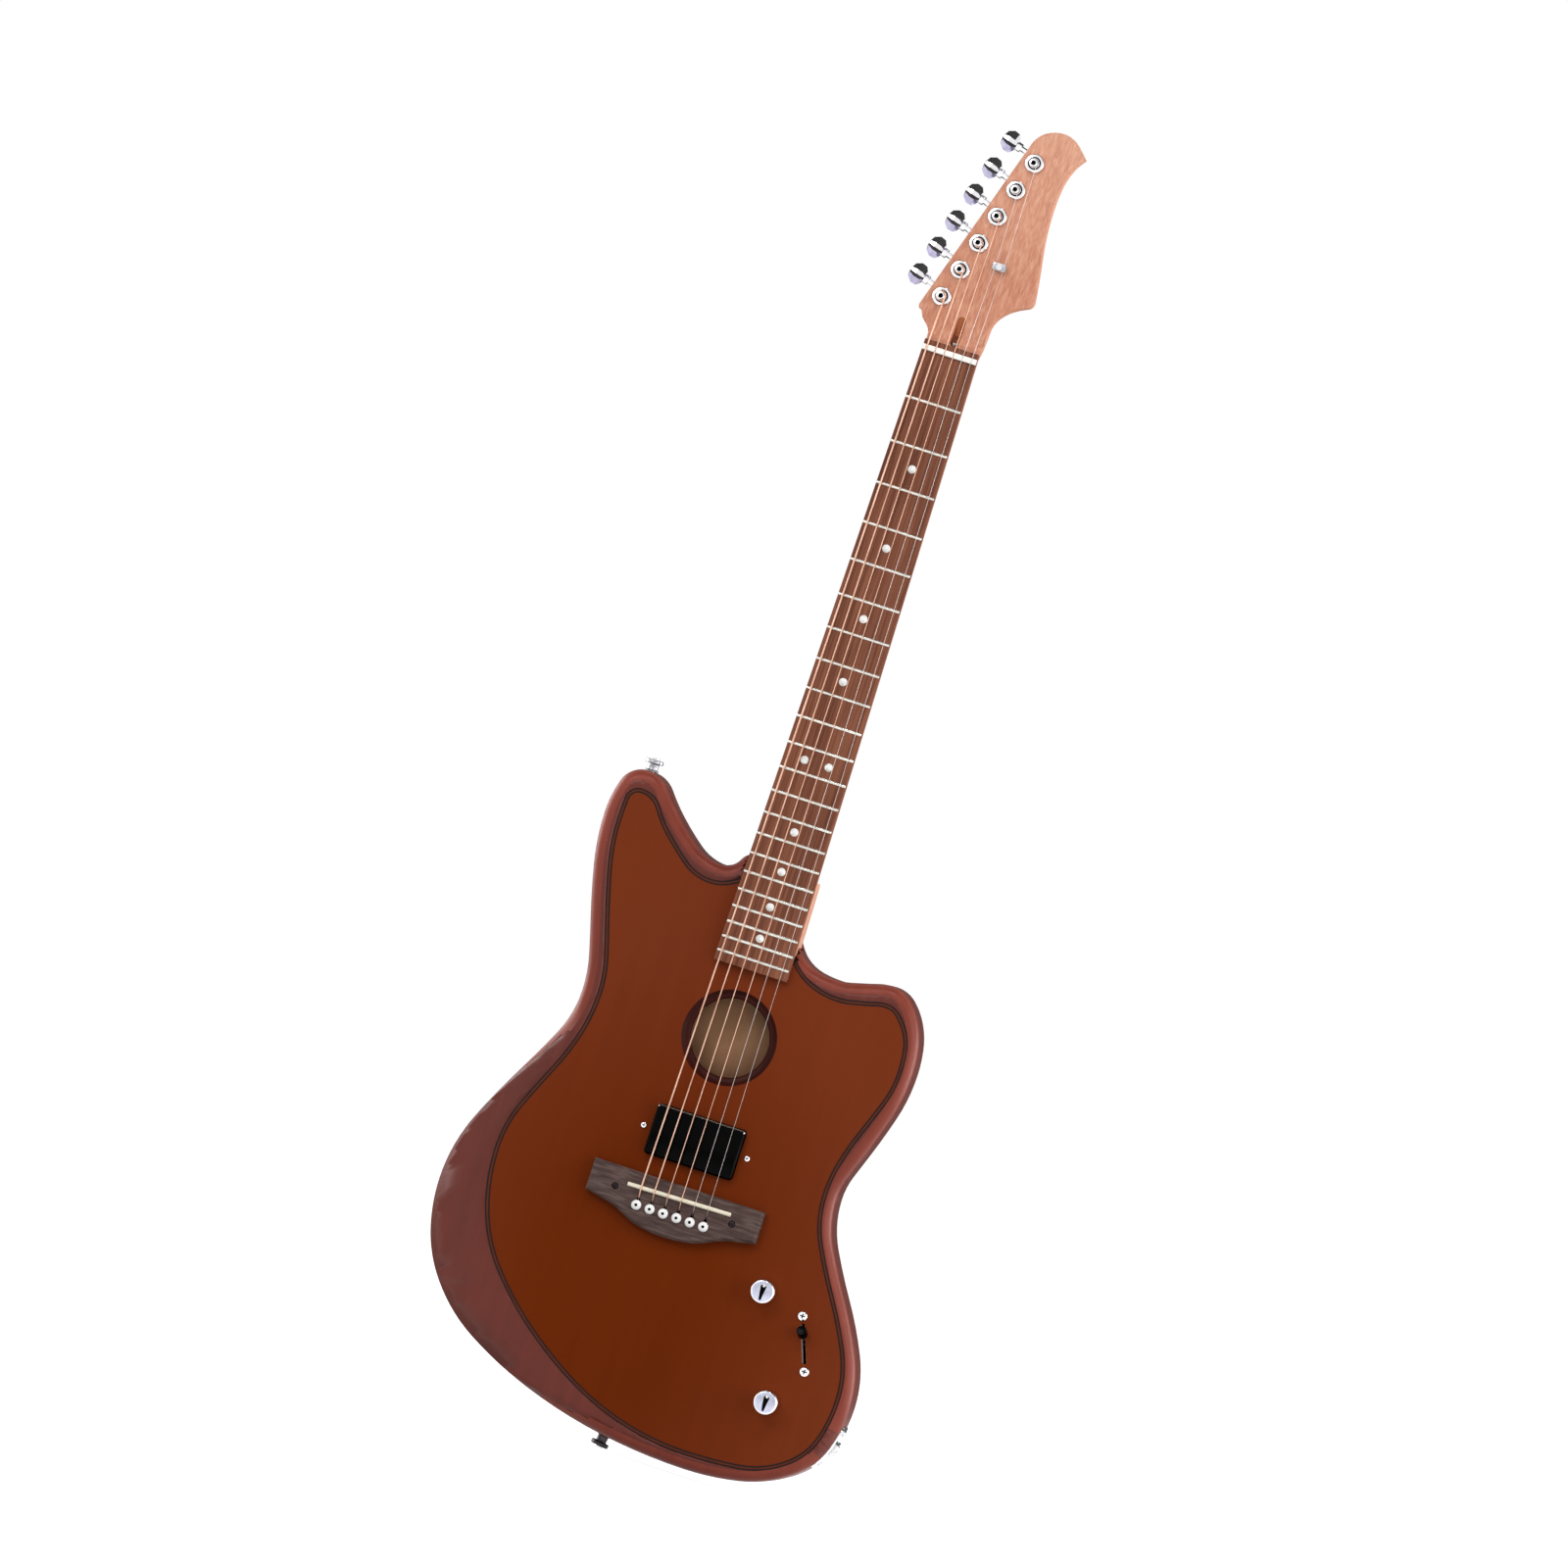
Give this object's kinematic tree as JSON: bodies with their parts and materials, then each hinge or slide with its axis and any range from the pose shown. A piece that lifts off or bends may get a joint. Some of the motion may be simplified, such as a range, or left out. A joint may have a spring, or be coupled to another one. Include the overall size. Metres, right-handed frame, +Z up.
{
  "type": "semi-hollow electric guitar",
  "caption": "Semi-hollow electric guitar with an inlaid flat top, round sound hole, pin bridge, tuners in one row, pickup, knobs and blade switch.",
  "frame": {"origin": "on the flat back, behind the middle of the saddle", "axes": "X to the right seen from the front, +Y out of the back, +Z up the neck"},
  "size_m": [0.3451, 0.0598, 1.0263],
  "materials": {
    "body_wood": "satin stained wood",
    "top_wood": "satin stained wood",
    "dark_wood": "dark inlay",
    "inner_wood": "bare wood",
    "bridge_wood": "oiled wood",
    "bone": "bone white",
    "pin_plastic": "white with a dark dot",
    "black_metal": "black",
    "neck_wood": "satin",
    "board_wood": "oiled wood",
    "fret_metal": "polished",
    "pearl": "pearl",
    "rod_steel": "plain",
    "chrome": "polished",
    "wound_wire": "wound",
    "plain_wire": "drawn",
    "gloss_black": "gloss black",
    "matte_black": "matte black",
    "rubber": "rubber"
  },
  "bodies": {
    "instrument": {"body": "body_wood", "soundboard": "top_wood", "purfling": "dark_wood", "top_braces": "inner_wood", "sound_hole_collar": "inner_wood", "bridge": "bridge_wood", "bridge_plate": "inner_wood", "saddle": "bone", "bridge_pins": "pin_plastic", "bridge_screws": "black_metal", "neck": "neck_wood", "fretboard": "board_wood", "frets": "fret_metal", "position_dots": "pearl", "nut": "bone", "truss_rod": "rod_steel", "string_tree": "chrome", "neck_ferrules": "chrome", "neck_screws": "chrome", "wound_strings": "wound_wire", "plain_strings": "plain_wire", "tuner_bushings": "chrome", "tuner_cases": "chrome", "headstock_screws": "chrome", "pickup_cover": "gloss_black", "pickup_coils": "matte_black", "pickup_base": "rod_steel", "pickup_screws": "black_metal", "pickup_sleeves": "rubber", "control_pots": "rod_steel", "pot_nuts": "chrome", "switch_frame": "rod_steel", "switch_screws": "chrome", "jack_plate": "chrome", "output_jack": "chrome", "strap_buttons": "chrome", "control_cover": "matte_black", "body_screws": "chrome"},
    "volume": {"volume_knob": "gloss_black", "volume_shaft": "rod_steel"},
    "tone": {"tone_knob": "gloss_black", "tone_shaft": "rod_steel"},
    "lever": {"switch_lever": "rod_steel", "switch_tip": "gloss_black"},
    "key_1": {"tuner_key_1": "chrome"},
    "post_1": {"tuner_post_1": "chrome"},
    "key_2": {"tuner_key_2": "chrome"},
    "post_2": {"tuner_post_2": "chrome"},
    "key_3": {"tuner_key_3": "chrome"},
    "post_3": {"tuner_post_3": "chrome"},
    "key_4": {"tuner_key_4": "chrome"},
    "post_4": {"tuner_post_4": "chrome"},
    "key_5": {"tuner_key_5": "chrome"},
    "post_5": {"tuner_post_5": "chrome"},
    "key_6": {"tuner_key_6": "chrome"},
    "post_6": {"tuner_post_6": "chrome"}
  },
  "joints": [
    {"name": "volume_turn", "type": "hinge", "parent": "instrument", "child": "volume", "pos_m": [0.0832, -0.045, -0.047], "axis": [0, 1, 0], "range_deg": [-140, 140]},
    {"name": "tone_turn", "type": "hinge", "parent": "instrument", "child": "tone", "pos_m": [0.1106, -0.045, -0.1237], "axis": [0, 1, 0], "range_deg": [-140, 140]},
    {"name": "lever_swing", "type": "hinge", "parent": "instrument", "child": "lever", "pos_m": [0.1225, -0.031, -0.0748], "axis": [0.9403, 0, 0.3404], "range_deg": [0, 47]},
    {"name": "key_1_turn", "type": "hinge", "parent": "instrument", "child": "key_1", "pos_m": [-0.01874, -0.0206, 0.69294], "axis": [-0.9553, 0, 0.2957], "continuous": true},
    {"name": "post_1_turn", "type": "hinge", "parent": "instrument", "child": "post_1", "pos_m": [-0.0198, -0.04, 0.6895], "axis": [0, 1, 0], "continuous": true},
    {"name": "key_2_turn", "type": "hinge", "parent": "instrument", "child": "key_2", "pos_m": [-0.0117, -0.0206, 0.71567], "axis": [-0.9553, 0, 0.2957], "continuous": true},
    {"name": "post_2_turn", "type": "hinge", "parent": "instrument", "child": "post_2", "pos_m": [-0.01276, -0.04, 0.71224], "axis": [0, 1, 0], "continuous": true},
    {"name": "key_3_turn", "type": "hinge", "parent": "instrument", "child": "key_3", "pos_m": [-0.00466, -0.0206, 0.73841], "axis": [-0.9553, 0, 0.2957], "continuous": true},
    {"name": "post_3_turn", "type": "hinge", "parent": "instrument", "child": "post_3", "pos_m": [-0.00572, -0.04, 0.73497], "axis": [0, 1, 0], "continuous": true},
    {"name": "key_4_turn", "type": "hinge", "parent": "instrument", "child": "key_4", "pos_m": [0.00238, -0.0206, 0.76115], "axis": [-0.9553, 0, 0.2957], "continuous": true},
    {"name": "post_4_turn", "type": "hinge", "parent": "instrument", "child": "post_4", "pos_m": [0.00131, -0.04, 0.75771], "axis": [0, 1, 0], "continuous": true},
    {"name": "key_5_turn", "type": "hinge", "parent": "instrument", "child": "key_5", "pos_m": [0.00942, -0.0206, 0.78388], "axis": [-0.9553, 0, 0.2957], "continuous": true},
    {"name": "post_5_turn", "type": "hinge", "parent": "instrument", "child": "post_5", "pos_m": [0.00835, -0.04, 0.78044], "axis": [0, 1, 0], "continuous": true},
    {"name": "key_6_turn", "type": "hinge", "parent": "instrument", "child": "key_6", "pos_m": [0.01645, -0.0206, 0.80662], "axis": [-0.9553, 0, 0.2957], "continuous": true},
    {"name": "post_6_turn", "type": "hinge", "parent": "instrument", "child": "post_6", "pos_m": [0.01539, -0.04, 0.80318], "axis": [0, 1, 0], "continuous": true}
  ],
  "couplings": [
    {"joint": "post_1_turn", "follows": "key_1_turn", "ratio": 0.066667},
    {"joint": "post_2_turn", "follows": "key_2_turn", "ratio": 0.066667},
    {"joint": "post_3_turn", "follows": "key_3_turn", "ratio": 0.066667},
    {"joint": "post_4_turn", "follows": "key_4_turn", "ratio": 0.066667},
    {"joint": "post_5_turn", "follows": "key_5_turn", "ratio": 0.066667},
    {"joint": "post_6_turn", "follows": "key_6_turn", "ratio": 0.066667}
  ]
}
